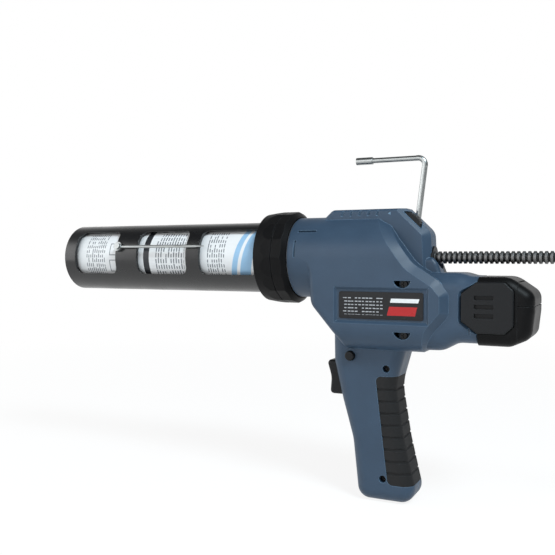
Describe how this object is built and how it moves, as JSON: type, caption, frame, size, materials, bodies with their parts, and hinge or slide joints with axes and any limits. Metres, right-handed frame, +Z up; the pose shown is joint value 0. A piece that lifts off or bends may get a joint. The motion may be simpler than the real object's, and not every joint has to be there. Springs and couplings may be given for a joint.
{
  "type": "cordless caulking tool",
  "caption": "Cordless caulking tool: windowed cartridge tube with collar nut, blue pistol housing, motor-driven push rack, hanging hook, speed dial, trigger and slide-in battery",
  "frame": {"origin": "centre of the pistol grip, on the tool's middle plane", "axes": "+X towards the rear of the tool, along the push rack; +Y to the tool's right side; +Z up"},
  "size_m": [0.5568, 0.0744, 0.2653],
  "materials": {
    "blue_housing": "fine-grained moulded plastic, slate blue",
    "black_plastic": "fine-grained moulded plastic",
    "black_tube": "satin black coat",
    "collar_black": "fine-grained moulded plastic",
    "cartridge_white": "smooth, with a plain printed band",
    "piston_white": "smooth",
    "steel": "ground",
    "rack_dark": "black oxide on steel",
    "zinc": "bright zinc plate",
    "bronze": "plain bearing bronze",
    "grip_rubber": "soft, matt, grooved",
    "plate_black": "printed plate with a plain two-colour pattern",
    "gearbox_grey": "die cast",
    "cell_wrap": "wrapped steel cell",
    "copper": "plated contact"
  },
  "bodies": {
    "housing": {"housing_left": "blue_housing", "housing_right": "blue_housing", "housing_screws": "steel", "name_plate": "plate_black", "grip_pad": "grip_rubber", "front_socket": "gearbox_grey", "front_bush": "bronze", "rear_bush": "black_plastic", "pinion_bushes": "bronze", "lay_bushes": "bronze", "frame_plate_left": "steel", "frame_plate_right": "steel", "frame_posts": "steel", "rack_rest": "black_plastic", "gearbox_case": "gearbox_grey", "output_bush": "bronze", "ring_gear": "steel", "motor_can": "steel", "motor_cap": "black_plastic", "terminal_block": "black_plastic", "switch_body": "black_plastic", "trigger_spring": "steel"},
    "rack": {"rack": "rack_dark", "rack_knob": "black_plastic", "plunger_disc": "steel", "plunger_screw": "steel", "cartridge_piston": "piston_white"},
    "pinion": {"pinion_shaft": "steel", "drive_pinion": "steel", "drive_gear": "steel"},
    "lay": {"lay_shaft": "steel", "lay_pinion": "steel", "bevel_gear": "steel"},
    "output": {"bevel_pinion": "steel", "planet_carrier": "steel"},
    "planet_1": {"planet_gear_1": "steel"},
    "planet_2": {"planet_gear_2": "steel"},
    "planet_3": {"planet_gear_3": "steel"},
    "rotor": {"motor_rotor": "steel", "sun_gear": "steel"},
    "trigger": {"trigger": "black_plastic"},
    "direction": {"direction_bar": "black_plastic"},
    "dial": {"speed_dial": "black_plastic"},
    "hook": {"hanging_hook": "zinc"},
    "barrel": {"holder_tube": "black_tube", "cartridge_body": "cartridge_white", "needle_rivet": "zinc"},
    "needle": {"piercing_needle": "zinc"},
    "collar": {"collar_nut": "collar_black"},
    "battery": {"battery_case": "black_plastic", "battery_cap": "black_plastic", "battery_cells": "cell_wrap", "battery_blades": "copper"},
    "latch_left": {"latch_button_left": "black_plastic"},
    "latch_right": {"latch_button_right": "black_plastic"}
  },
  "joints": [
    {"name": "rotor_turn", "type": "hinge", "parent": "housing", "child": "rotor", "pos_m": [0.016, 0, 0.0895], "axis": [1, 0, 0], "range_deg": [-16128.3, 0]},
    {"name": "rack_slide", "type": "slide", "parent": "housing", "child": "rack", "axis": [-1, 0, 0], "range_m": [0, 0.19]},
    {"name": "pinion_turn", "type": "hinge", "parent": "housing", "child": "pinion", "pos_m": [-0.02851, 0, 0.1168], "axis": [0, 1, 0], "range_deg": [-1512.6, 0]},
    {"name": "lay_turn", "type": "hinge", "parent": "housing", "child": "lay", "pos_m": [-0.0252, 0, 0.0895], "axis": [0, 1, 0], "range_deg": [0, 4032.5]},
    {"name": "output_turn", "type": "hinge", "parent": "housing", "child": "output", "pos_m": [-0.009, 0, 0.0895], "axis": [1, 0, 0], "range_deg": [-4032.5, 0]},
    {"name": "planet_1_turn", "type": "hinge", "parent": "output", "child": "planet_1", "pos_m": [-0.004, 0, 0.0979], "axis": [1, 0, 0], "range_deg": [0, 12096.4]},
    {"name": "planet_2_turn", "type": "hinge", "parent": "output", "child": "planet_2", "pos_m": [-0.004, -0.00727, 0.0853], "axis": [1, 0, 0], "range_deg": [0, 12096.4]},
    {"name": "planet_3_turn", "type": "hinge", "parent": "output", "child": "planet_3", "pos_m": [-0.004, 0.00727, 0.0853], "axis": [1, 0, 0], "range_deg": [0, 12096.4]},
    {"name": "trigger_pull", "type": "slide", "parent": "housing", "child": "trigger", "axis": [1, 0, 0], "range_m": [0, 0.006], "stiffness_N_per_m": 1200, "springref_m": -0.003, "deforming": ["trigger_spring"]},
    {"name": "direction_push", "type": "slide", "parent": "housing", "child": "direction", "axis": [0, 1, 0], "range_m": [-0.003, 0.003]},
    {"name": "dial_turn", "type": "hinge", "parent": "housing", "child": "dial", "pos_m": [0.0255, -0.006, 0.1511], "axis": [0, 1, 0], "range_deg": [-135, 135]},
    {"name": "hook_swivel", "type": "hinge", "parent": "housing", "child": "hook", "pos_m": [0.0302, 0.008, 0.162], "axis": [0.1219, 0, 0.9925], "range_deg": [-90, 180]},
    {"name": "barrel_turn", "type": "hinge", "parent": "housing", "child": "barrel", "pos_m": [-0.094, 0, 0.128], "axis": [1, 0, 0], "range_deg": [-180, 180]},
    {"name": "needle_swing", "type": "hinge", "parent": "barrel", "child": "needle", "pos_m": [-0.2285, -0.0292, 0.13749], "axis": [0, -0.9511, 0.309], "range_deg": [0, 180]},
    {"name": "collar_turn", "type": "hinge", "parent": "housing", "child": "collar", "pos_m": [-0.078, 0, 0.128], "axis": [1, 0, 0], "range_deg": [-90, 0]},
    {"name": "battery_slide", "type": "slide", "parent": "housing", "child": "battery", "axis": [1, 0, 0], "range_m": [0, 0.06]},
    {"name": "latch_left_press", "type": "slide", "parent": "battery", "child": "latch_left", "axis": [0, 1, 0], "range_m": [0, 0.002], "stiffness_N_per_m": 1500, "springref_m": -0.001},
    {"name": "latch_right_press", "type": "slide", "parent": "battery", "child": "latch_right", "axis": [0, -1, 0], "range_m": [0, 0.002], "stiffness_N_per_m": 1500, "springref_m": -0.001}
  ],
  "couplings": [
    {"joint": "rotor_turn", "follows": "rack_slide", "rad_per_m": -1481.5},
    {"joint": "pinion_turn", "follows": "rack_slide", "rad_per_m": -138.89},
    {"joint": "lay_turn", "follows": "rack_slide", "rad_per_m": 370.37},
    {"joint": "output_turn", "follows": "rack_slide", "rad_per_m": -370.37},
    {"joint": "planet_1_turn", "follows": "rack_slide", "rad_per_m": 1111.1},
    {"joint": "planet_2_turn", "follows": "rack_slide", "rad_per_m": 1111.1},
    {"joint": "planet_3_turn", "follows": "rack_slide", "rad_per_m": 1111.1}
  ]
}
